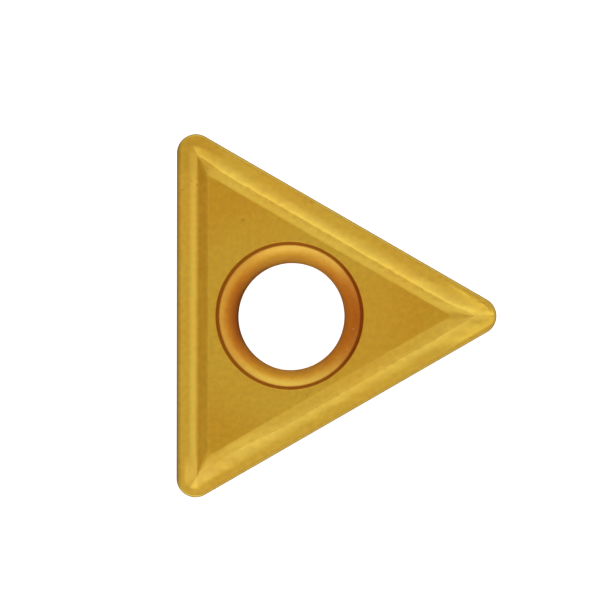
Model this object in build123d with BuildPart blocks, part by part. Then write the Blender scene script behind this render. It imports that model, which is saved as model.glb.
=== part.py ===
from build123d import *
from math import atan2, cos, degrees, radians, sin, sqrt, tan
import os

# A triangular, single-sided turning insert with a screw hole: one pressed and
# sintered cemented-carbide body. It lies on its seat, z = 0, with the hole's
# axis on +Z and one cutting corner pointing along +X. Millimetres and degrees.

os.makedirs("parts", exist_ok=True)

# ---------------------------------------------------------------- dimensions
inscribed_circle = 9.525  # inside the three finished cutting edges
thickness = 3.97  # seat to the top of the honed cutting edge
nose_radius = 0.8
relief_angle = 7.0  # each flank leans in by this much, going down

hone_radius = 0.10  # rounding of the cutting edge
seat_break = 0.05  # edge break round the seat

# Chip groove, measured inward from the cutting edge
land_width = 0.44
land_angle = 3.0  # the land falls gently inward
rake_end = 0.86  # where the rounded rake face ends
rake_angle = 32.0  # its steepest slope, at that end
valley_radius = 0.015
back_angle = 17.0  # the groove's back wall, rising to the plateau
plateau_offset = 1.35  # where the wall meets the plateau
groove_corner = 0.58  # its lines turn each nose tighter than the outline does

# Screw hole with its trumpet-shaped head seat
hole_radius = 2.28
step_outer_radius = 3.13  # the short steep wall at the plateau
step_inner_radius = 2.99
step_depth = 0.25
trumpet_rim_angle = 27.0  # slope of the head seat at its rim, from level
hole_break = 0.12  # chamfer where the hole leaves the seat

# ------------------------------------------------------- derived dimensions


def rise(angle):
    return tan(radians(angle))


# The hone takes the corner of land and flank off, so the theoretical sharp edge
# stands just outside the finished one and just above the finished thickness.
hone_inset = (
    hone_radius / cos(radians(relief_angle))
    + hone_radius * rise(relief_angle) / cos(radians(land_angle))
) / (1 - rise(land_angle) * rise(relief_angle))
overhang = hone_inset - hone_radius
inradius = inscribed_circle / 2 + overhang
sharp_nose_radius = nose_radius + overhang
groove_reach = 2 * inradius - 2 * groove_corner  # hole axis to where its lines turn
groove_half_width = groove_reach * sin(radians(60))
sharp_edge_z = (
    thickness
    + hone_inset * rise(land_angle)
    + hone_radius * (1 / cos(radians(land_angle)) - 1)
)

rake_arc_radius = (rake_end - land_width) / (
    sin(radians(rake_angle)) - sin(radians(land_angle))
)
land_end_z = sharp_edge_z - land_width * rise(land_angle)
rake_end_z = land_end_z - rake_arc_radius * (
    cos(radians(land_angle)) - cos(radians(rake_angle))
)
valley_end = rake_end + valley_radius * (
    sin(radians(rake_angle)) + sin(radians(back_angle))
)
valley_end_z = rake_end_z + valley_radius * (
    cos(radians(rake_angle)) - cos(radians(back_angle))
)
plateau_z = valley_end_z + (plateau_offset - valley_end) * rise(back_angle)

# Stock above the finished face, taken off by the groove cutters
stock = 0.3
blank_top = sharp_edge_z + stock
clear_z = blank_top + 0.5
margin = 0.6  # how far the cutters reach past the outline

trumpet_sweep = 90 - trumpet_rim_angle
trumpet_radius = (step_inner_radius - hole_radius) / (
    1 - cos(radians(trumpet_sweep))
)
trumpet_top_z = plateau_z - step_depth
throat_z = trumpet_top_z - trumpet_radius * sin(radians(trumpet_sweep))

# ------------------------------------------------- groove cutter, one side
# The finished face's section, as what lies above it, run along the side that
# faces -X and trimmed to that side's own sector: square to the side out at the
# noses, and along the mitres further in.
with BuildPart() as side_cutter:
    with BuildSketch(Plane.XZ) as side_section:
        with BuildLine() as side_line:
            land = Line(
                (-inradius - margin, sharp_edge_z + margin * rise(land_angle)),
                (-inradius + land_width, land_end_z),
            )
            rake = JernArc(
                start=land @ 1,
                tangent=land % 1,
                radius=rake_arc_radius,
                arc_size=-(rake_angle - land_angle),
            )
            valley = JernArc(
                start=rake @ 1,
                tangent=rake % 1,
                radius=valley_radius,
                arc_size=rake_angle + back_angle,
            )
            Polyline(
                valley @ 1,
                (-inradius + plateau_offset, plateau_z),
                (margin, plateau_z),
                (margin, clear_z),
                (-inradius - margin, clear_z),
                land @ 0,
            )
        make_face()
    extrude(amount=inscribed_circle, both=True)
    with BuildSketch(Plane.XY) as side_sector:
        Polygon(
            (-inradius - 2 * margin, groove_half_width),
            (-inradius + groove_corner, groove_half_width),
            (0, 0),
            (-inradius + groove_corner, -groove_half_width),
            (-inradius - 2 * margin, -groove_half_width),
            align=None,
        )
    extrude(amount=clear_z + 1, mode=Mode.INTERSECT)

# -------------------------------------------------- groove cutter, one nose
# The same section turned round inside the nose, so that the land and the rake
# follow the rounded corner. The turn is tighter than the nose itself, so the land
# narrows to half its width at the very tip.
start_angle = radians(-60)
nose_plane = Plane(
    origin=(groove_reach, 0, 0),
    x_dir=(cos(start_angle), sin(start_angle), 0),
    z_dir=(sin(start_angle), -cos(start_angle), 0),
)
rake_centre_slope = degrees(
    atan2(
        sin(radians(land_angle)) + (groove_corner - land_width) / rake_arc_radius,
        sqrt(
            1
            - (
                sin(radians(land_angle))
                + (groove_corner - land_width) / rake_arc_radius
            )
            ** 2
        ),
    )
)
with BuildPart() as nose_cutter:
    with BuildSketch(nose_plane) as nose_section:
        with BuildLine() as nose_line:
            nose_land = Line(
                (groove_corner + margin, sharp_edge_z + margin * rise(land_angle)),
                (groove_corner - land_width, land_end_z),
            )
            nose_rake = JernArc(
                start=nose_land @ 1,
                tangent=nose_land % 1,
                radius=rake_arc_radius,
                arc_size=rake_centre_slope - land_angle,
            )
            Polyline(
                nose_rake @ 1,
                (0, clear_z),
                (groove_corner + margin, clear_z),
                nose_land @ 0,
            )
        make_face()
    revolve(axis=Axis((groove_reach, 0, 0), (0, 0, 1)), revolution_arc=120)

# ------------------------------------------------------------- the insert
with BuildPart() as insert:
    # Blank: a rounded triangle, drawn at the top and leaning in downwards
    blank_growth = stock * rise(relief_angle)
    blank_reach = 2 * (inradius + blank_growth)
    with BuildSketch(Plane.XY.offset(blank_top)) as blank_outline:
        Polygon(
            *[
                (blank_reach * cos(radians(a)), blank_reach * sin(radians(a)))
                for a in (0, 120, 240)
            ],
            align=None,
        )
        fillet(blank_outline.vertices(), sharp_nose_radius + blank_growth)
    extrude(amount=-blank_top, taper=relief_angle)

    # Finished top face: land, rake, valley, back wall and plateau
    with PolarLocations(0, 3):
        add(side_cutter.part, mode=Mode.SUBTRACT)
    with PolarLocations(0, 3):
        add(nose_cutter.part, mode=Mode.SUBTRACT)

    # Honed cutting edge, all the way round: it dips a little at each nose, where
    # the outline cuts into the falling land
    dip = (sharp_nose_radius - groove_corner) * rise(land_angle)
    cutting_edge = insert.edges().filter_by(
        lambda e: all(
            -dip - 1e-3 < (e @ t).Z - sharp_edge_z < 1e-3 for t in (0, 0.5, 1)
        )
    )
    fillet(cutting_edge, hone_radius)

    # Small break round the seat
    seat_edge = insert.edges().filter_by(
        lambda e: abs(e.center().Z) < 1e-5 and abs((e @ 0).Z) < 1e-5
    )
    chamfer(seat_edge, seat_break)

    # Screw hole: chamfered mouth in the seat, straight wall, trumpet-shaped
    # head seat, and the short steep wall up to the plateau
    with BuildSketch(Plane.XZ) as hole_section:
        with BuildLine() as hole_line:
            wall = Polyline(
                (0, -1),
                (hole_radius + hole_break + 1, -1),
                (hole_radius, hole_break),
                (hole_radius, throat_z),
            )
            trumpet = JernArc(
                start=(hole_radius, throat_z),
                tangent=(0, 1),
                radius=trumpet_radius,
                arc_size=-trumpet_sweep,
            )
            Polyline(
                trumpet @ 1,
                (step_outer_radius, plateau_z),
                (step_outer_radius, clear_z),
                (0, clear_z),
                (0, -1),
            )
        make_face()
    revolve(axis=Axis.Z, mode=Mode.SUBTRACT)

insert.part.label = "insert"

box = insert.part.bounding_box()
print("faces", len(insert.faces()), "solids", len(insert.solids()))
print("volume mm3", round(insert.part.volume, 3))
print("box", box.min, box.max)
print("plateau z", round(plateau_z, 4), "throat z", round(throat_z, 4))
print("valley floor z", round(rake_end_z - valley_radius * (1 - cos(radians(rake_angle))), 4))
print("trumpet radius", round(trumpet_radius, 4), "sharp edge z", round(sharp_edge_z, 4))

export_step(insert.part, "parts/insert.step")
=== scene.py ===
import math

import bpy
import numpy as np
from mathutils import Matrix, Vector
from mathutils.geometry import delaunay_2d_cdt


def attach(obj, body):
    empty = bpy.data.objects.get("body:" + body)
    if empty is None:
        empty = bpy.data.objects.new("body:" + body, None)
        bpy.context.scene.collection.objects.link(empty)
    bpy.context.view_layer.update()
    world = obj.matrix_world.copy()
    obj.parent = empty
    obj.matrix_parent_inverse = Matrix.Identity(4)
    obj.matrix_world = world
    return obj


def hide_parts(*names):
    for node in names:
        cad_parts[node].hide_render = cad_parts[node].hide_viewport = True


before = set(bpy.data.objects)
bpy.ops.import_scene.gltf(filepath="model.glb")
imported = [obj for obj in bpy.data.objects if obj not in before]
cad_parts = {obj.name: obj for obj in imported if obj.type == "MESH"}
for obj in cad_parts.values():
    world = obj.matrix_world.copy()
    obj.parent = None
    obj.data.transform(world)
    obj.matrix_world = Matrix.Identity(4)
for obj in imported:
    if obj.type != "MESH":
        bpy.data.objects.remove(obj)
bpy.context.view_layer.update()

# ============================================================ dimensions, mm
# The same driving numbers as the CAD part.
THICK = 3.97
RELIEF = math.radians(7.0)
HONE_R = 0.10
SEAT_BREAK = 0.05
LAND_W, LAND_A = 0.44, math.radians(3.0)
RAKE_END, RAKE_A = 0.86, math.radians(32.0)
VALLEY_R = 0.015
BACK_A = math.radians(17.0)
PLATEAU_D = 1.35
GROOVE_CORNER = 0.58
HOLE_R = 2.28
STEP_OUT, STEP_IN, STEP_DEEP = 3.13, 2.99, 0.25
TRUMPET_RIM = math.radians(27.0)
HOLE_BREAK = 0.12
# Small roundings that the sintered and coated edges have
EDGE_R = 0.10  # plateau edge, along the back wall
STEP_TOP_R = 0.025
STEP_FOOT_R = 0.04
SEAT_R = 0.05

MM = 0.001
SQ3 = math.sqrt(3.0)

hone_inset = (HONE_R / math.cos(RELIEF) + HONE_R * math.tan(RELIEF) / math.cos(LAND_A)) / (
    1 - math.tan(LAND_A) * math.tan(RELIEF)
)
INRADIUS = 9.525 / 2 + hone_inset - HONE_R  # to the sharp edge, before honing
NOSE_R = 0.8 + hone_inset - HONE_R
SHARP_Z = THICK + hone_inset * math.tan(LAND_A) + HONE_R * (1 / math.cos(LAND_A) - 1)
RAKE_R = (RAKE_END - LAND_W) / (math.sin(RAKE_A) - math.sin(LAND_A))
LAND_END_Z = SHARP_Z - LAND_W * math.tan(LAND_A)
RAKE_END_Z = LAND_END_Z - RAKE_R * (math.cos(LAND_A) - math.cos(RAKE_A))
VALLEY_END = RAKE_END + VALLEY_R * (math.sin(RAKE_A) + math.sin(BACK_A))
VALLEY_END_Z = RAKE_END_Z + VALLEY_R * (math.cos(RAKE_A) - math.cos(BACK_A))
PLATEAU_Z = VALLEY_END_Z + (PLATEAU_D - VALLEY_END) * math.tan(BACK_A)
SWEEP = math.pi / 2 - TRUMPET_RIM
TRUMPET_R = (STEP_IN - HOLE_R) / (1 - math.cos(SWEEP))
TRUMPET_TOP_Z = PLATEAU_Z - STEP_DEEP
THROAT_Z = TRUMPET_TOP_Z - TRUMPET_R * math.sin(SWEEP)


# ================================================================== section
def fillet_points(before, corner, after, radius, count):
    """Points of the arc that rounds a corner of a section."""
    a, b, c = (np.array(p, float) for p in (before, corner, after))
    u, v = (a - b) / np.linalg.norm(a - b), (c - b) / np.linalg.norm(c - b)
    half = math.acos(np.clip(u @ v, -1, 1)) / 2
    reach = radius / math.tan(half)
    middle = b + (u + v) / np.linalg.norm(u + v) * (radius / math.sin(half))
    start, end = b + u * reach, b + v * reach
    s, e = start - middle, end - middle
    turn = math.atan2(s[0] * e[1] - s[1] * e[0], s @ e)
    made = []
    for k in range(count + 1):
        t = turn * k / count
        made.append(
            middle
            + np.array([
                s[0] * math.cos(t) - s[1] * math.sin(t),
                s[0] * math.sin(t) + s[1] * math.cos(t),
            ])
        )
    return made


def run_points(a, b, step):
    """Evenly spaced points between two, leaving both out."""
    a, b = np.array(a, float), np.array(b, float)
    n = max(1, round(np.linalg.norm(b - a) / step))
    return [a + (b - a) * k / n for k in range(1, n)]


def outer_section():
    """The body's section from the seat up the flank, over the edge and down the
    groove to the plateau, as (distance in from the sharp edge, height)."""
    flank_foot = (SHARP_Z * math.tan(RELIEF), 0.0)
    sharp = (0.0, SHARP_Z)
    land_end = (LAND_W, LAND_END_Z)
    pts = fillet_points((flank_foot[0] + 1, 0), flank_foot, sharp, SEAT_R, 3)
    hone = fillet_points(flank_foot, sharp, land_end, HONE_R, 8)
    pts += run_points(pts[-1], hone[0], 0.3) + hone
    pts += run_points(hone[-1], land_end, 0.05) + [np.array(land_end)]
    n = 10
    for k in range(1, n + 1):
        t = LAND_A + (RAKE_A - LAND_A) * k / n
        pts.append(np.array([
            LAND_W + RAKE_R * (math.sin(t) - math.sin(LAND_A)),
            LAND_END_Z - RAKE_R * (math.cos(LAND_A) - math.cos(t)),
        ]))
    n = 5
    for k in range(1, n + 1):
        t = RAKE_A - (RAKE_A + BACK_A) * k / n
        pts.append(np.array([
            RAKE_END + VALLEY_R * (math.sin(RAKE_A) - math.sin(t)),
            RAKE_END_Z - VALLEY_R * (math.cos(t) - math.cos(RAKE_A)),
        ]))
    top = (PLATEAU_D, PLATEAU_Z)
    edge = fillet_points((VALLEY_END, VALLEY_END_Z), top, (PLATEAU_D + 1, PLATEAU_Z), EDGE_R, 3)
    pts += run_points(pts[-1], edge[0], 0.05) + edge
    return pts


def hole_section():
    """The hole's section from the plateau down to the seat, as (radius, height)."""
    rim = (STEP_OUT, PLATEAU_Z)
    foot = (STEP_IN, TRUMPET_TOP_Z)
    t = TRUMPET_RIM
    along = (STEP_IN - math.cos(t), TRUMPET_TOP_Z - math.sin(t))
    pts = fillet_points((STEP_OUT + 1, PLATEAU_Z), rim, foot, STEP_TOP_R, 4)
    low = fillet_points(rim, foot, along, STEP_FOOT_R, 3)
    pts += run_points(pts[-1], low[0], 0.05) + low
    centre = (HOLE_R + TRUMPET_R, THROAT_Z)
    start = math.atan2(low[-1][1] - centre[1], centre[0] - low[-1][0])
    n = 24
    for k in range(1, n + 1):
        s = start * (1 - k / n)
        pts.append(np.array([
            centre[0] - TRUMPET_R * math.cos(s), centre[1] + TRUMPET_R * math.sin(s)
        ]))
    mouth = (HOLE_R, HOLE_BREAK)
    seat = (HOLE_R + HOLE_BREAK, 0.0)
    soft = fillet_points((HOLE_R, 1.0), mouth, seat, 0.05, 2)
    last = fillet_points(mouth, seat, (seat[0] + 1, 0.0), 0.03, 2)
    pts += run_points((HOLE_R, THROAT_Z), soft[0], 0.3) + soft + last
    return pts


# ===================================================================== mesh
SIDE_N, NOSE_N, HOLE_N = 274, 36, 320
ROUND = 3 * (SIDE_N + NOSE_N)


def outline_row(d, corner):
    """Points round the offset by d of a triangle rounded by corner, one for each
    column, anticlockwise from the lower end of the nose on +X. Past that radius
    the nose's columns share one point on the mitre."""
    made = []
    for k in range(3):
        turn = 2 * math.pi * k / 3
        reach = 2 * INRADIUS - 2 * max(corner, d)
        centre = np.array([reach * math.cos(turn), reach * math.sin(turn)])
        r = max(corner - d, 0.0)
        for i in range(NOSE_N):
            t = turn + math.radians(-60 + 120 * i / NOSE_N)
            made.append(centre + r * np.array([math.cos(t), math.sin(t)]))
        ahead = turn + 2 * math.pi / 3
        other = np.array([reach * math.cos(ahead), reach * math.sin(ahead)])
        out = turn + math.radians(60)
        off = r * np.array([math.cos(out), math.sin(out)])
        for i in range(SIDE_N):
            made.append(centre + off + (other - centre) * i / SIDE_N)
    return np.array(made)


def groove_distance(xy, corner=GROOVE_CORNER):
    """Distance in from the cutting edge, as the groove's own lines measure it."""
    xy = np.asarray(xy)
    sides = [math.radians(a) for a in (60, 180, 300)]
    d = np.min([INRADIUS - (xy[:, 0] * math.cos(a) + xy[:, 1] * math.sin(a)) for a in sides], axis=0)
    for a in (0, 120, 240):
        a = math.radians(a)
        u = xy[:, 0] * math.cos(a) + xy[:, 1] * math.sin(a) - 2 * (INRADIUS - corner)
        v = -xy[:, 0] * math.sin(a) + xy[:, 1] * math.cos(a)
        turned = u > np.abs(v) / SQ3
        d = np.where(turned, corner - np.hypot(u, v), d)
    return d


def body_mesh():
    """All vertices, faces and a per-vertex band number of the insert."""
    verts, faces, d_of = [], [], []

    def add_points(xy, z, d):
        first = len(verts)
        z = np.broadcast_to(z, len(xy))
        verts.extend((x, y, h) for (x, y), h in zip(xy, z))
        d_of.extend([d] * len(xy))
        return first

    def strip(a, b):
        n = len(a)
        for i in range(n):
            j = (i + 1) % n
            f = [a[i], a[j], b[j], b[i]]
            f = [v for k, v in enumerate(f) if v != f[k - 1]]
            if len(f) > 2 and len(set(f)) == len(f):
                faces.append(f)

    section = outer_section()
    # The outline cuts into the falling land at the noses, so the edge dips there
    rim = outline_row(0.0, NOSE_R)
    dip = np.maximum(groove_distance(rim), 0) * math.tan(LAND_A)
    edge_at = next(i for i, (d, z) in enumerate(section) if z > SHARP_Z - HONE_R) - 1
    land_at = next(i for i, (d, z) in enumerate(section) if i > edge_at and d > 1.03 * hone_inset)
    hone_d = section[land_at - 1][0]
    rows = []
    for i, (d, z) in enumerate(section):
        if i < land_at:
            share = min(z / section[edge_at][1], 1.0)
            drop = dip * share
            xy = outline_row(d, NOSE_R)
            if d < 0.2:
                inward = outline_row(d + 0.001, NOSE_R) - xy
                xy = xy + inward * (drop * math.tan(RELIEF) / 0.001)[:, None]
            first = add_points(xy, z - drop, d)
            rows.append(np.arange(first, first + ROUND))
        elif d < LAND_W - 1e-6:
            share = (d - hone_d) / (LAND_W - hone_d)
            share = share * share * (3 - 2 * share)
            xy = (1 - share) * outline_row(d, NOSE_R) + share * outline_row(d, GROOVE_CORNER)
            first = add_points(xy, SHARP_Z - groove_distance(xy) * math.tan(LAND_A), d)
            rows.append(np.arange(first, first + ROUND))
        elif d < GROOVE_CORNER - 1e-6:
            first = add_points(outline_row(d, GROOVE_CORNER), z, d)
            rows.append(np.arange(first, first + ROUND))
        else:
            xy = outline_row(d, GROOVE_CORNER)
            keep, index, last = [], [], -1
            for c in range(ROUND):
                in_nose = c % (NOSE_N + SIDE_N) < NOSE_N
                start = c % (NOSE_N + SIDE_N) == 0
                if start or not in_nose:
                    # a side's first column is the nose's own point
                    if not start and c % (NOSE_N + SIDE_N) == NOSE_N:
                        index.append(last)
                        continue
                    keep.append(xy[c])
                    last = len(keep) - 1
                index.append(last)
            first = add_points(keep, z, d)
            rows.append(first + np.array(index))
    for a, b in zip(rows, rows[1:]):
        strip(a, b)
    bottom_ring, top_ring = rows[0], rows[-1]

    hole = hole_section()
    angle = 2 * math.pi * (np.arange(HOLE_N) + 0.5) / HOLE_N
    hole_rows = []
    for r, z in hole:
        first = add_points(np.stack([r * np.cos(angle), r * np.sin(angle)], 1), z, 9.0)
        hole_rows.append(np.arange(first, first + HOLE_N))
    for a, b in zip(hole_rows, hole_rows[1:]):
        strip(a, b)

    def fill(outer, inner, step, z, up, inradius, hole_r, nose):
        """Triangles between an outline and the hole, with an even grid inside."""
        outer = list(dict.fromkeys(int(i) for i in outer))
        inner = [int(i) for i in inner]
        fixed = outer + inner
        pts = [(verts[i][0], verts[i][1]) for i in fixed]
        n, m = len(outer), len(inner)
        edges = [(i, (i + 1) % n) for i in range(n)]
        edges += [(n + i, n + (i + 1) % m) for i in range(m)]
        rows_n = int(2 * inradius / (step * SQ3 / 2)) + 2
        jj, ii = np.meshgrid(np.arange(-rows_n, rows_n), np.arange(-rows_n, rows_n), indexing="ij")
        x = (ii + 0.5 * (jj % 2)) * step
        y = jj * step * SQ3 / 2
        x, y = x.ravel(), y.ravel()
        sides = [math.radians(a) for a in (60, 180, 300)]
        gap = np.min([inradius - (x * math.cos(a) + y * math.sin(a)) for a in sides], axis=0)
        far = np.hypot(x, y)
        keep = (gap > 0.62 * step) & (far > hole_r + 0.62 * step)
        if nose:
            reach = 2 * inradius - 2 * nose
            for a in (0, 120, 240):
                a = math.radians(a)
                u = x * math.cos(a) + y * math.sin(a) - reach
                v = -x * math.sin(a) + y * math.cos(a)
                keep &= ~((u > np.abs(v) / SQ3) & (np.hypot(u, v) > nose - 0.62 * step))
        grid = np.stack([x[keep], y[keep]], 1)
        first = add_points(grid, z, 5.0)
        names = fixed + list(range(first, first + len(grid)))
        pts += [tuple(p) for p in grid]
        out = delaunay_2d_cdt([Vector(p) for p in pts], edges, [], 0, 1e-7)
        co, tris, origin = out[0], out[2], out[3]
        assert len(co) == len(pts)
        back = [names[o[0]] for o in origin]
        for t in tris:
            a, b, c = (co[i] for i in t)
            longest = max((b - a).length, (c - a).length, (c - b).length)
            if abs((b - a).cross(c - a)) < 1e-4 * longest:
                continue  # three points of one straight side
            cx = sum(co[i][0] for i in t) / 3
            cy = sum(co[i][1] for i in t) / 3
            if math.hypot(cx, cy) > hole_r * math.cos(math.pi / HOLE_N) - 1e-6:
                f = [back[i] for i in t]
                faces.append(f if up else f[::-1])

    fill(top_ring, hole_rows[0], 0.052, PLATEAU_Z, True, INRADIUS - section[-1][0], hole[0][0], 0)
    fill(bottom_ring, hole_rows[-1], 0.3, 0.0, False, INRADIUS - section[0][0], hole[-1][0],
         NOSE_R - section[0][0])
    return np.array(verts), faces, np.array(d_of)


# =================================================================== relief
def noise(x, y, size, seed):
    """Smooth seeded gradient noise, about -1 to 1, with features of that size."""
    x, y = np.asarray(x) / size + 1000.37, np.asarray(y) / size + 1000.71
    ix, iy = np.floor(x).astype(np.int64), np.floor(y).astype(np.int64)
    fx, fy = x - ix, y - iy

    def corner(dx, dy):
        h = ((ix + dx) * 374761393 + (iy + dy) * 668265263 + seed * 974634777) & 0xFFFFFFFF
        h = ((h ^ (h >> 13)) * 1274126177) & 0xFFFFFFFF
        h = (h ^ (h >> 16)) & 0xFFFFFFFF
        a = h * (2 * math.pi / 4294967296.0)
        return np.cos(a) * (fx - dx) + np.sin(a) * (fy - dy)

    ux, uy = (f * f * f * (f * (f * 6 - 15) + 10) for f in (fx, fy))
    low = corner(0, 0) * (1 - ux) + corner(1, 0) * ux
    high = corner(0, 1) * (1 - ux) + corner(1, 1) * ux
    return 1.4 * (low * (1 - uy) + high * uy)


def ease(x, start, end):
    """0 at start, 1 at end, smooth between; start may be the larger."""
    t = np.clip((np.asarray(x) - start) / (end - start), 0, 1)
    return t * t * (3 - 2 * t)


def side_shares(xy):
    """How much each point belongs to each side, 0 at a mitre, 1 well inside."""
    gaps = [
        INRADIUS - (xy[:, 0] * math.cos(math.radians(a)) + xy[:, 1] * math.sin(math.radians(a)))
        for a in (60, 180, 300)
    ]
    made = []
    for k in range(3):
        other = np.minimum(gaps[(k + 1) % 3], gaps[(k + 2) % 3])
        made.append(ease(other - gaps[k], 0.0, 0.5))
    return made


def weather(verts, d_of):
    """The pressed and coated surface isn't drawn with a ruler: the rake starts
    nearer to the edge at two of the noses, its edges wander, its face is mottled,
    the hips of the back wall are rounded, and the flat has a faint waviness."""
    made = verts.copy()
    top = (verts[:, 2] > 3.5) & (d_of < 6.0)
    xy = verts[top, :2]
    x, y = xy[:, 0], xy[:, 1]
    d = groove_distance(xy)
    upper, left, lower = side_shares(xy)
    section = np.array([p for p in outer_section() if p[0] > 0.1 and p[1] > 3.5])

    def level(at):
        return np.interp(at, section[:, 0], section[:, 1])

    gaps = np.sort([
        INRADIUS - (x * math.cos(math.radians(a)) + y * math.sin(math.radians(a)))
        for a in (60, 180, 300)
    ], axis=0)
    reach = 2 * INRADIUS - NOSE_R
    tips = [(reach * math.cos(math.radians(a)), reach * math.sin(math.radians(a))) for a in (0, 120, 240)]
    to_tip = [np.hypot(x - tx, y - ty) for tx, ty in tips]
    # the rake's edges wander, and the groove is a little wider on one side
    wander = 0.055 * noise(x, y, 0.6, 11) + 0.016 * noise(x, y, 0.26, 12) + 0.05 * noise(x, y, 1.9, 13)
    wander *= 0.35 + 0.65 * np.maximum(upper, 0.9 * lower) - 0.25 * left
    inward = -(wander + 0.03 * upper + 0.06 * lower) * ease(d, 0.17, 0.42) * ease(d, 0.88, 0.55)
    aside = ease(gaps[1] - gaps[0], 0.05, 1.4)
    inward += (0.118 * upper - 0.02 * left) * aside * ease(d, 0.45, 0.86) * ease(d, 1.33, 0.99)
    inward += 0.12 * lower * aside * ease(to_tip[2], 5.2, 2.6) * ease(d, 0.34, 0.64) * ease(d, 1.34, 1.0)
    ragged = 0.020 * noise(x, y, 0.30, 14) + 0.014 * noise(x, y, 0.15, 15)
    inward += ragged * (upper + 0.8 * lower + 0.25 * left) * aside * ease(d, 0.62, 0.84) * ease(d, 1.2, 1.0)
    inward += 0.03 * (upper + lower) * aside * ease(d, 1.0, 1.33) * ease(d, 1.75, 1.42)
    z = -0.007 * upper * aside * ease(d, 0.5, RAKE_END) * np.clip((PLATEAU_D - d) / (PLATEAU_D - VALLEY_END), 0, 1)
    # on the side facing -X the valley is softer than its drawn radius
    reach_v = 0.09 * left * aside + 1e-6
    off = np.clip(1 - np.abs(d - (RAKE_END + VALLEY_END) / 2) / reach_v, 0, None)
    z += (math.tan(RAKE_A) + math.tan(BACK_A)) * reach_v / 4 * off ** 2
    # each nose came out of the die a little differently: at one the two rakes fall
    # evenly and meet in a plain mitre, at the other two they turn the corner
    land = SHARP_Z - d * math.tan(LAND_A)
    turning = groove_distance(xy, NOSE_R)
    for near, t, start, bend, deep in (
        (ease(to_tip[0], 3.0, 1.2), gaps[0], 0.24, 0.85 - 0.3 * upper, 0.035 * ease(to_tip[0], 2.6, 1.1)),
        (ease(to_tip[1], 1.8, 0.9), turning, 0.50, 0.5, -0.02 * ease(to_tip[1], 1.8, 0.9)),
        (ease(to_tip[2], 2.0 + 2.8 * lower, 1.0 + 1.2 * lower), turning, 0.36 + 0.08 * lower, 0.9,
         0.03 * ease(to_tip[2], 2.0, 0.9) + 0.008 * lower * aside * ease(to_tip[2], 5.2, 2.6)),
    ):
        t = np.clip((t - start) / (RAKE_END - start), 0, 1)
        t = t * (bend + (1 - bend) * t)
        even = near * (land + (level(RAKE_END) - land) * t - level(np.clip(d, 0.12, None))) - deep * t
        wall_z = -deep * np.clip((PLATEAU_D - gaps[0]) / (PLATEAU_D - VALLEY_END), 0, 1)
        z += np.where(gaps[0] < RAKE_END, even * ease(d, 0.11, 0.24), wall_z)
    # rounded hips, where the back walls of two sides meet
    soft = 0.34 * ease(d, VALLEY_END, 1.15)
    near = np.clip(1 - (gaps[1] - gaps[0]) / np.maximum(soft, 1e-6), 0, None)
    d_hip = gaps[0] - near * near * soft / 4
    wall = (d > VALLEY_END) & (near > 0) & (soft > 0)
    z += np.where(wall, level(np.maximum(d_hip, VALLEY_END)) - level(gaps[0]), 0.0)
    # mottling
    groove = ease(d, 0.12, 0.4) * ease(d, 1.30, 1.05)
    mottle = 0.0030 * noise(x, y, 0.44, 21) + 0.0012 * noise(x, y, 0.2, 22)
    z += mottle * groove * (0.8 + 0.5 * lower - 0.35 * left) * ease(d, 1.25, 0.9)
    # waviness of the flat
    flat = ease(d, 1.30, 1.6) * ease(np.hypot(x, y), 3.2, 3.5)
    z += flat * (0.0012 * noise(x, y, 1.6, 31) + 0.00025 * noise(x, y, 0.3, 32))
    made[top, 2] += z
    # the side's own inward direction, blended where two sides meet
    for share, a in ((upper, 60), (left, 180), (lower, 300)):
        a = math.radians(a)
        made[top, 0] -= share * inward * math.cos(a)
        made[top, 1] -= share * inward * math.sin(a)
    return made


def mesh_object(name, verts, faces):
    mesh = bpy.data.meshes.new(name)
    mesh.from_pydata([tuple(v) for v in verts * MM], [], faces)
    mesh.validate()
    for p in mesh.polygons:
        p.use_smooth = True
    mesh.update()
    o = bpy.data.objects.new(name, mesh)
    bpy.context.scene.collection.objects.link(o)
    return o


verts, faces, d_of = body_mesh()
verts = weather(verts, d_of)
insert = mesh_object("coated_insert", verts, faces)
# the plain mitre in the first nose is a crease
crease = {
    i for i, (px, py, pz) in enumerate(verts) if abs(py) < 1e-5 and 7.6 < px < 8.56 and pz > 3.7
}
for edge in insert.data.edges:
    if edge.vertices[0] in crease and edge.vertices[1] in crease:
        edge.use_edge_sharp = True
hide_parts("insert")
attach(insert, "root")

# ================================================================= material
def new_material(name):
    m = bpy.data.materials.new(name)
    m.use_nodes = True
    m.node_tree.nodes.clear()
    return m, m.node_tree.nodes, m.node_tree.links


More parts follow.
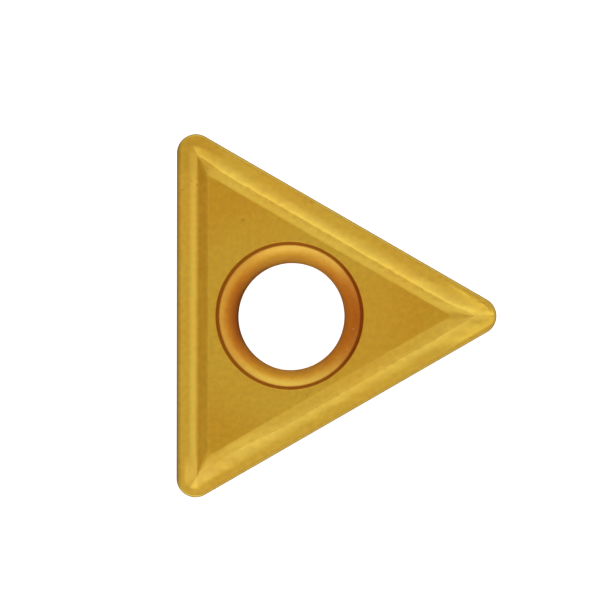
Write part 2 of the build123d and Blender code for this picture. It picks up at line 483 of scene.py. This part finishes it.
class Graph:
    """Short ways to add the nodes that the coating needs."""

    def __init__(self, nodes, links):
        self.nodes, self.links = nodes, links

    def put(self, kind, inputs=(), **settings):
        node = self.nodes.new(kind)
        for name, value in settings.items():
            setattr(node, name, value)
        for key, value in dict(inputs).items():
            if isinstance(value, bpy.types.NodeSocket):
                self.links.new(value, node.inputs[key])
            else:
                node.inputs[key].default_value = value
        return node

    def math(self, operation, a, b=0.0, clamp=False):
        node = self.put("ShaderNodeMath", {0: a, 1: b}, operation=operation)
        node.use_clamp = clamp
        return node.outputs[0]

    def span(self, value, low, high, to_low=0.0, to_high=1.0):
        """Value mapped smoothly from low..high to another range."""
        node = self.put(
            "ShaderNodeMapRange",
            {"Value": value, "From Min": low, "From Max": high, "To Min": to_low, "To Max": to_high},
            interpolation_type="SMOOTHSTEP",
        )
        return node.outputs["Result"]

    def blend(self, amount, a, b, how="MIX"):
        node = self.put("ShaderNodeMix", data_type="RGBA", blend_type=how)
        for socket, value in ((0, amount), (6, a), (7, b)):
            if isinstance(value, bpy.types.NodeSocket):
                self.links.new(value, node.inputs[socket])
            else:
                node.inputs[socket].default_value = value
        return node.outputs[2]

    def noise(self, where, size, detail=2.0, roughness=0.5, offset=(0, 0, 0)):
        """Noise with features of that size in metres, 0 to 1 round 0.5."""
        moved = self.put("ShaderNodeVectorMath", {0: where, 1: offset}, operation="ADD").outputs[0]
        node = self.put(
            "ShaderNodeTexNoise",
            {"Vector": moved, "Scale": 1 / size, "Detail": detail, "Roughness": roughness},
        )
        return node.outputs["Fac"]


gold, nodes, links = new_material("gold_coating")
g = Graph(nodes, links)
place = g.put("ShaderNodeTexCoord").outputs["Object"]
split = g.put("ShaderNodeSeparateXYZ", {0: place})
x, y, z = split.outputs
flat = g.put("ShaderNodeCombineXYZ", {0: x, 1: y})
radius = g.put("ShaderNodeVectorMath", {0: flat.outputs[0]}, operation="LENGTH").outputs["Value"]
# the finished face, as against the flanks and the seat
on_top = g.span(z, 0.0034, 0.0037)
# zones round the screw hole, in metres from its axis
off_seat = g.math("MAXIMUM", g.math("GREATER_THAN", z, 0.0003), g.math("LESS_THAN", radius, 0.00240))
in_hole = g.math("MULTIPLY", g.span(radius, 0.00315, 0.00310), off_seat)
# painted shade: the step round the hole, from its foot to its rim, is coloured dark brown
step_painted_shade = g.math("MULTIPLY", in_hole, g.span(radius, 0.00293, 0.00300))
deep = g.span(radius, 0.00275, 0.00229)
corner = g.span(radius, 0.0036, 0.0058)

# the honed edge, all the way round
rim, most = None, None
for k in range(3):
    a = math.radians(60 + 120 * k)
    gap = g.put(
        "ShaderNodeVectorMath", {0: flat.outputs[0], 1: (math.cos(a), math.sin(a), 0)},
        operation="DOT_PRODUCT",
    ).outputs["Value"]
    zone = g.span(gap, (INRADIUS - 0.20) / 1000, (INRADIUS - 0.06) / 1000)
    rim = zone if rim is None else g.math("MAXIMUM", rim, zone)
    most = gap if most is None else g.math("MAXIMUM", most, gap)
    a = math.radians(120 * k)
    reach = 2 * (INRADIUS - NOSE_R) / 1000
    along = g.put(
        "ShaderNodeVectorMath", {0: flat.outputs[0], 1: (math.cos(a), math.sin(a), 0)},
        operation="DOT_PRODUCT",
    ).outputs["Value"]
    away = g.put(
        "ShaderNodeVectorMath",
        {0: flat.outputs[0], 1: (reach * math.cos(a), reach * math.sin(a), 0)},
        operation="DISTANCE",
    ).outputs["Value"]
    zone = g.math("MULTIPLY", g.math("GREATER_THAN", along, reach + 0.00020),
                  g.span(away, (NOSE_R - 0.20) / 1000, (NOSE_R - 0.06) / 1000))
    rim = g.math("MAXIMUM", rim, zone)

in_flat = g.span(most, (INRADIUS - 1.26) / 1000, (INRADIUS - 1.42) / 1000)
on_land = g.span(most, (INRADIUS - 0.60) / 1000, (INRADIUS - 0.40) / 1000)

minus_x = g.math("MULTIPLY", x, -1.0)
# painted shade: the back wall on the side facing -X is coloured darker and browner
left_wall_painted_shade = g.math("MULTIPLY", g.span(minus_x, (INRADIUS - 0.85) / 1000, (INRADIUS - 0.95) / 1000),
                 g.span(minus_x, (INRADIUS - 1.36) / 1000, (INRADIUS - 1.20) / 1000))
left_wall_painted_shade = g.math("MULTIPLY", left_wall_painted_shade, g.math("GREATER_THAN", minus_x, g.math("SUBTRACT", most, 1e-6)))

# painted highlight colour: the rake is coloured paler and bluer, like its highlights
rake_painted_highlight = g.math("MULTIPLY", g.span(most, (INRADIUS - 1.02) / 1000, (INRADIUS - 0.94) / 1000),
                 g.span(most, (INRADIUS - 0.50) / 1000, (INRADIUS - 0.64) / 1000))
# painted shade: the back walls are coloured a little darker, more so on the side toward +Y
back_wall_painted_shade = g.math("MULTIPLY", g.span(most, (INRADIUS - 0.92) / 1000, (INRADIUS - 1.10) / 1000),
                    g.span(most, (INRADIUS - 1.40) / 1000, (INRADIUS - 1.30) / 1000))
nose_away = []
for k in (1, 2):
    a = math.radians(120 * k)
    reach = 2 * (INRADIUS - NOSE_R) / 1000
    nose_away.append(g.put(
        "ShaderNodeVectorMath",
        {0: flat.outputs[0], 1: (reach * math.cos(a), reach * math.sin(a), 0)},
        operation="DISTANCE",
    ).outputs["Value"])

# painted light: the groove is coloured brighter and paler along one side's end
painted_light_end = g.math("MULTIPLY", g.span(nose_away[1], 0.0050, 0.0024), g.span(x, -0.0040, -0.0035))
painted_light_end = g.math("MULTIPLY", painted_light_end, g.span(most, (INRADIUS - 1.30) / 1000, (INRADIUS - 1.12) / 1000))
painted_light_end = g.math("MULTIPLY", painted_light_end, g.span(most, (INRADIUS - 0.44) / 1000, (INRADIUS - 0.58) / 1000))

# slow shifts of the coating's thickness: olive to orange
slow = g.noise(place, 0.0030, 2.0, 0.5, (0.011, 0.002, 0.0))
drift = g.span(slow, 0.35, 0.65)
mottle = g.noise(place, 0.00022, 3.0, 0.6, (0.03, 0.01, 0.0))
grain = g.noise(place, 0.00007, 2.0, 0.6)

shine = g.blend(drift, (0.865, 0.735, 0.112, 1), (0.875, 0.715, 0.098, 1))
corners = g.blend(g.span(x, 0.0, -0.0025), (0.92, 0.855, 0.58, 1), (0.915, 0.825, 0.54, 1))
middle = g.blend(corner, (0.965, 0.955, 0.84, 1), corners)
zones = g.blend(in_flat, (1.0, 1.0, 1.0, 1), middle)
zones = g.blend(on_land, zones, (1.05, 1.05, 1.03, 1))
zones = g.blend(rake_painted_highlight, zones, (1.01, 1.01, 1.15, 1))
zones = g.blend(back_wall_painted_shade, zones, g.blend(g.span(y, -0.0004, 0.0004), (0.955, 0.94, 0.97, 1), (0.935, 0.92, 0.96, 1)))
zones = g.blend(left_wall_painted_shade, zones, (0.85, 0.77, 0.50, 1))
zones = g.blend(1.0, zones, g.blend(painted_light_end, (1, 1, 1, 1), (1.07, 1.09, 1.20, 1)), "MULTIPLY")
# painted shade: darker and more orange near the nose at 120 degrees
zones = g.blend(1.0, zones, g.blend(g.span(nose_away[0], 0.0014, 0.0006), (1, 1, 1, 1), (0.915, 0.88, 0.78, 1)), "MULTIPLY")
# painted highlight: brighter and paler near the nose at 240 degrees
zones = g.blend(1.0, zones, g.blend(g.span(nose_away[1], 0.0012, 0.0003), (1, 1, 1, 1), (1.05, 1.06, 1.20, 1)), "MULTIPLY")
zones = g.blend(on_top, (0.97, 0.95, 0.86, 1), zones)
shine = g.blend(1.0, shine, zones, "MULTIPLY")
shine = g.blend(in_hole, shine, (0.86, 0.76, 0.14, 1))
# painted shade in the step's ring
shine = g.blend(step_painted_shade, shine, (0.56, 0.45, 0.07, 1))
body = g.blend(drift, (0.765, 0.302, 0.003, 1), (0.78, 0.276, 0.002, 1))
body = g.blend(1.0, body, zones, "MULTIPLY")
body = g.blend(in_hole, body, g.blend(deep, (0.85, 0.29, 0.02, 1), (0.88, 0.35, 0.045, 1)))
body = g.blend(step_painted_shade, body, (0.44, 0.122, 0.005, 1))
plain = (1.0, 1.0, 1.0, 1)
# painted shade in the bore: its side toward +X is coloured darker and redder, and deep in the throat on the -X side
# lies a painted shadow of the wall
hole_painted_shade = g.blend(g.math("MULTIPLY", in_hole, g.span(x, 0.0018, 0.0026)), plain,
                 g.blend(deep, (0.84, 0.62, 0.56, 1), (0.91, 0.80, 0.76, 1)))
hole_wall_shadow = g.math("MULTIPLY", in_hole, g.math("MULTIPLY", deep, g.span(x, -0.0018, -0.0023)))
hole_painted_shade = g.blend(hole_wall_shadow, hole_painted_shade, (0.84, 0.64, 0.62, 1))
# painted highlight in the bore: toward +Y and -Y it is coloured paler and yellower
hole_painted_highlight = g.math("MULTIPLY", in_hole, g.span(g.math("ABSOLUTE", y), 0.0016, 0.00235))
hole_painted_highlight = g.math("MULTIPLY", hole_painted_highlight, g.span(x, 0.0020, 0.0012))
low_side = g.math("MULTIPLY", g.math("LESS_THAN", y, 0.0), g.span(radius, 0.00305, 0.00272))
hole_painted_highlight = g.math("MULTIPLY", hole_painted_highlight, g.math("MAXIMUM", g.span(radius, 0.00280, 0.00258), low_side))
hole_painted_highlight = g.blend(hole_painted_highlight, plain, (1.02, 1.23, 1.26, 1))
# painted highlight: the bore's outer band on the -X side is coloured paler
hole_rim_painted_highlight = g.math("MULTIPLY", in_hole, g.math("MULTIPLY", g.span(radius, 0.00258, 0.00276), g.span(x, 0.0009, -0.0009)))
hole_rim_painted_highlight = g.math("MULTIPLY", hole_rim_painted_highlight, g.span(radius, 0.00296, 0.00280))
hole_rim_painted_highlight = g.blend(hole_rim_painted_highlight, plain, (1.09, 1.13, 1.08, 1))
for tint in (hole_painted_shade, hole_painted_highlight, hole_rim_painted_highlight):
    shine = g.blend(1.0, shine, tint, "MULTIPLY")
    body = g.blend(1.0, body, tint, "MULTIPLY")
# random mottle of the coating's tone, and below it painted shade on one edge
mottle_and_edge_shade = g.span(mottle, 0.3, 0.7, 0.955, 1.045)
# painted shade: the outer edge on the -X side is coloured darker
outer = g.math("MULTIPLY", g.span(x, (-INRADIUS + 0.24) / 1000, (-INRADIUS + 0.12) / 1000), on_top)
mottle_and_edge_shade = g.math("MULTIPLY", mottle_and_edge_shade, g.span(outer, 0.0, 1.0, 1.0, 0.79))
edge_tint = g.blend(g.math("MULTIPLY", rim, on_top), plain, (0.84, 0.865, 1.20, 1))
for tint in (mottle_and_edge_shade, edge_tint):
    shine = g.blend(1.0, shine, tint, "MULTIPLY")
    body = g.blend(1.0, body, tint, "MULTIPLY")

# pits: dark dots, a few of them larger, and one hair-thin mark along a nose
cells = g.put("ShaderNodeTexVoronoi", {"Vector": place, "Scale": 900.0, "Randomness": 1.0}, feature="F1")
chosen = g.put("ShaderNodeSeparateColor", {0: cells.outputs["Color"]}).outputs[0]
dot = g.math("MULTIPLY", g.span(cells.outputs["Distance"], 0.036, 0.020), g.math("GREATER_THAN", chosen, 0.93))

marks = None
for px, py, size in (
    (-1.975, 4.041, 50), (-3.450, 6.212, 38), (0.934, 4.788, 42), (0.745, -3.336, 42),
    (-4.129, 5.686, 40), (-3.914, 5.517, 42), (1.444, 2.271, 34), (-2.93, -5.05, 34),
):
    away = g.put(
        "ShaderNodeVectorMath", {0: flat.outputs[0], 1: (px / 1000, py / 1000, 0)}, operation="DISTANCE"
    ).outputs["Value"]
    spot = g.span(away, size * 1e-6, size * 0.4e-6)
    marks = spot if marks is None else g.math("MAXIMUM", marks, spot)
# painted glints: a few bright yellow dots in the bore near its rim
painted_glints = None
for px, py, size in ((2.680, -0.554, 34), (2.435, -1.414, 30), (2.005, -1.751, 34), (1.482, -2.148, 28)):
    away = g.put(
        "ShaderNodeVectorMath", {0: flat.outputs[0], 1: (px / 1000, py / 1000, 0)}, operation="DISTANCE"
    ).outputs["Value"]
    spot = g.span(away, size * 1e-6, size * 0.4e-6)
    painted_glints = spot if painted_glints is None else g.math("MAXIMUM", painted_glints, spot)
nose_at = (2 * INRADIUS - 2 * NOSE_R) / 1000
round_nose = g.put(
    "ShaderNodeVectorMath", {0: flat.outputs[0], 1: (nose_at, 0, 0)}, operation="DISTANCE"
).outputs["Value"]
hair = g.math("MULTIPLY", g.span(round_nose, 0.000560, 0.000585), g.span(round_nose, 0.000622, 0.000597))
hair = g.math("MULTIPLY", hair, g.math("MULTIPLY", g.span(x, 0.00775, 0.00805), g.span(y, 0.00012, 0.00024)))
marks = g.math("MULTIPLY", g.math("MAXIMUM", marks, g.math("MULTIPLY", hair, 0.8)), on_top)
marks = g.math("MAXIMUM", marks, dot)
painted_glints = g.math("MULTIPLY", painted_glints, g.math("GREATER_THAN", z, 0.0020))
shine = g.blend(g.math("MULTIPLY", marks, 0.6), shine, (0.22, 0.11, 0.01, 1))
body = g.blend(g.math("MULTIPLY", marks, 0.6), body, (0.26, 0.07, 0.002, 1))

# the painted glints
shine = g.blend(g.math("MULTIPLY", painted_glints, 0.7), shine, (0.95, 0.85, 0.35, 1))
body = g.blend(g.math("MULTIPLY", painted_glints, 0.7), body, (0.95, 0.75, 0.30, 1))

rough = g.math("ADD", g.span(mottle, 0.3, 0.7, 0.30, 0.36), g.span(grain, 0.3, 0.7, -0.02, 0.02))
height = g.math("ADD", g.math("MULTIPLY", mottle, 0.6), g.math("MULTIPLY", grain, 0.4))
height = g.math("SUBTRACT", height, g.math("MULTIPLY", dot, 1.2))
bump = g.put("ShaderNodeBump", {"Strength": 0.35, "Distance": 0.0000035, "Height": height})
metal = g.put(
    "ShaderNodeBsdfPrincipled",
    {"Base Color": shine, "Metallic": 1.0, "Roughness": rough, "Normal": bump.outputs[0]},
)
matte = g.put(
    "ShaderNodeBsdfPrincipled",
    {"Base Color": body, "Metallic": 0.0, "Roughness": 0.5, "Specular IOR Level": 0.18,
     "Normal": bump.outputs[0]},
)
# the bore isn't polished by the coating's last pass, so it is duller
dull = g.span(in_hole, 0.0, 1.0, 0.50, 0.70)
both = g.put("ShaderNodeMixShader", {0: dull, 1: metal.outputs[0], 2: matte.outputs[0]})
out = g.put("ShaderNodeOutputMaterial", {"Surface": both.outputs[0]})
insert.data.materials.append(gold)

# ==================================================================== stage
floor_mesh = bpy.data.meshes.new("floor")
s = 0.6
floor_mesh.from_pydata([(-s, -s, 0), (s, -s, 0), (s, s, 0), (-s, s, 0)], [], [(0, 1, 2, 3)])
floor = bpy.data.objects.new("floor", floor_mesh)
bpy.context.scene.collection.objects.link(floor)
floor.location = (0, 0, -0.00002)
floor.visible_glossy = False
floor.visible_diffuse = False
white, nodes, links = new_material("white_table")
out = nodes.new("ShaderNodeOutputMaterial")
fb = nodes.new("ShaderNodeBsdfPrincipled")
fb.inputs["Base Color"].default_value = (0.8, 0.8, 0.8, 1)
fb.inputs["Roughness"].default_value = 0.9
fb.inputs["Emission Color"].default_value = (1, 1, 1, 1)
fb.inputs["Emission Strength"].default_value = 0.97
links.new(fb.outputs[0], out.inputs["Surface"])
floor_mesh.materials.append(white)

# The table also lights the flanks from below, all round the seat. Seen by the
# camera it is the floor above, so this one only gives light.
ring = 96
glow_points, glow_faces = [], []
for r in (0.0042, 0.3):
    glow_points += [
        (r * math.cos(2 * math.pi * i / ring), r * math.sin(2 * math.pi * i / ring), 0.0)
        for i in range(ring)
    ]
for i in range(ring):
    j = (i + 1) % ring
    glow_faces.append((i, ring + i, ring + j, j))
glow_mesh = bpy.data.meshes.new("table_light")
glow_mesh.from_pydata(glow_points, [], glow_faces)
glow = bpy.data.objects.new("table_light", glow_mesh)
bpy.context.scene.collection.objects.link(glow)
glow.location = (0, 0, -0.00001)
glow.visible_camera = False
glow.visible_shadow = False
pale, nodes, links = new_material("pale_light")
out = nodes.new("ShaderNodeOutputMaterial")
fb = nodes.new("ShaderNodeBsdfPrincipled")
fb.inputs["Base Color"].default_value = (0.0, 0.0, 0.0, 1)
fb.inputs["Roughness"].default_value = 1.0
fb.inputs["Specular IOR Level"].default_value = 0.0
fb.inputs["Emission Color"].default_value = (1, 1, 1, 1)
fb.inputs["Emission Strength"].default_value = 0.25
links.new(fb.outputs[0], out.inputs["Surface"])
glow_mesh.materials.append(pale)


def on_dome(azimuth, from_vertical, radius):
    a, p = math.radians(azimuth), math.radians(from_vertical)
    return (
        radius * math.sin(p) * math.cos(a),
        radius * math.sin(p) * math.sin(a),
        radius * math.cos(p),
    )


def soft_disc(name, azimuth, from_vertical, radiance, half=36.0, distance=0.5):
    """A soft round light that fades from its middle to nothing at half degrees."""
    half = math.radians(half)
    light = bpy.data.lights.new(name, "AREA")
    light.shape = "DISK"
    light.size = 2 * distance * math.tan(half)
    light.spread = 2 * half
    fade = (math.tan(half) - half) / math.tan(half)
    light.energy = radiance * math.pi * math.pi * (light.size / 2) ** 2 * fade
    o = bpy.data.objects.new(name, light)
    bpy.context.scene.collection.objects.link(o)
    o.location = on_dome(azimuth, from_vertical, distance)
    o.rotation_mode = "QUATERNION"
    o.rotation_quaternion = (Vector((0, 0, 0.003)) - o.location).to_track_quat("-Z", "Y")
    o.visible_camera = False
    return o


# Soft discs round the table, as (azimuth, degrees from overhead, radiance). The
# side at -X is left dim, and so is the sky straight above.
LIGHTS = [
    ("high_right", 0, 22, 0.17),
    ("high_far_left", 120, 22, 0.44),
    ("high_near_left", 240, 22, 0.30),
    ("right", 0, 45, 1.10),
    ("far", 90, 45, 1.24),
    ("far_left", 135, 45, 0.27),
    ("near_left", 225, 45, 0.72),
    ("near", 270, 45, 1.08),
    ("low_far_right", 45, 70, 0.84),
    ("low_far", 90, 70, 0.92),
    ("low_far_left", 135, 70, 0.62),
    ("low_near_left", 225, 70, 0.96),
    ("low_near", 270, 70, 1.31),
    ("low_near_right", 315, 70, 0.60),
]
for name, azimuth, from_vertical, radiance in LIGHTS:
    soft_disc(name, azimuth, from_vertical, radiance)

world = bpy.data.worlds.new("studio")
bpy.context.scene.world = world
world.use_nodes = True
background = world.node_tree.nodes["Background"]
background.inputs["Color"].default_value = (0.9, 0.93, 1.0, 1)
background.inputs["Strength"].default_value = 0.01

# =================================================================== camera
camera_data = bpy.data.cameras.new("camera")
camera = bpy.data.objects.new("camera", camera_data)
bpy.context.scene.collection.objects.link(camera)
bpy.context.scene.camera = camera
CAMERA_D = 400.0
camera_data.sensor_width = 36.0
camera_data.lens = 23.72 * 36.0 * CAMERA_D / 600.0
camera_data.clip_start, camera_data.clip_end = 0.01, 5.0
tilt_x, tilt_y, roll = math.radians(1.627), math.radians(0.763), math.radians(0.062)
back = Vector((math.sin(tilt_x), -math.sin(tilt_y), 0))
back.z = math.sqrt(1 - back.x**2 - back.y**2)
right = Vector((0, 1, 0)).cross(back).normalized()
up = back.cross(right)
right, up = (
    right * math.cos(roll) + up * math.sin(roll),
    up * math.cos(roll) - right * math.sin(roll),
)
aim = Vector((0.4416, 0.6640, 3.95)) * MM
camera.matrix_world = Matrix.Translation(aim + back * CAMERA_D * MM) @ Matrix(
    (right, up, back)
).transposed().to_4x4()

scene = bpy.context.scene
scene.view_settings.view_transform = "Standard"
scene.view_settings.look = "None"
scene.view_settings.exposure = 0.0
scene.view_settings.gamma = 1.0

print("triangles", sum(len(p.vertices) - 2 for p in insert.data.polygons))
